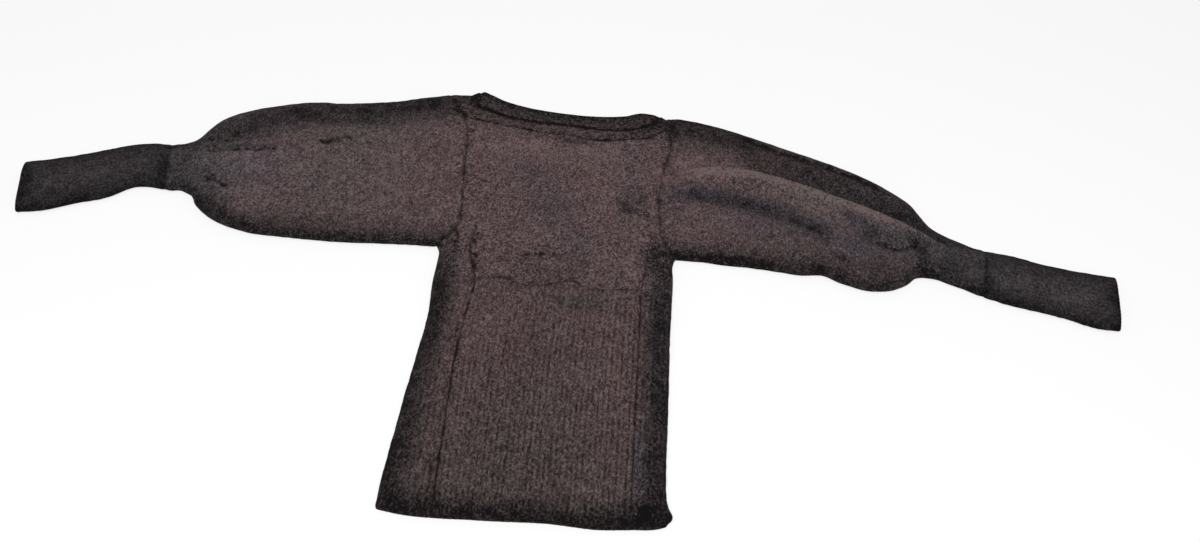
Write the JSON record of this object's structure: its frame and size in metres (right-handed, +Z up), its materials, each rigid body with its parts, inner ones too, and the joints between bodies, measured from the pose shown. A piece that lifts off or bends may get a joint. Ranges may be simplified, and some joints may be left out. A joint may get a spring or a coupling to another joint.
{
  "type": "darned wool sweater",
  "caption": "Dark brown felted wool sweater laid flat front up: boat neck, plain bodice, long ribbed lower body, full gathered sleeves and long cuffs, with worn darned patches.",
  "frame": {"origin": "middle of the bounding box, on the floor the sweater lies on", "axes": "+X from cuff to cuff, towards the wearer's left; +Y from the hem towards the neck; +Z up, out of the front"},
  "size_m": [1.579, 0.7226, 0.0278],
  "materials": {
    "bodice_wool": "matt felted plain knitting with a short nap",
    "ribbed_wool": "matt felted ribbed knitting with a short nap",
    "sleeve_wool": "matt felted plain knitting with a short nap",
    "cuff_wool": "matt felted knitting, greyer and darker",
    "neckband_wool": "matt felted knitting"
  },
  "bodies": {
    "root": {"front_bodice": "bodice_wool", "front_rib_panel": "ribbed_wool", "back_bodice": "bodice_wool", "back_rib_panel": "ribbed_wool", "right_sleeve": "sleeve_wool", "left_sleeve": "sleeve_wool", "right_cuff": "cuff_wool", "left_cuff": "cuff_wool", "neckband": "neckband_wool"}
  },
  "joints": []
}
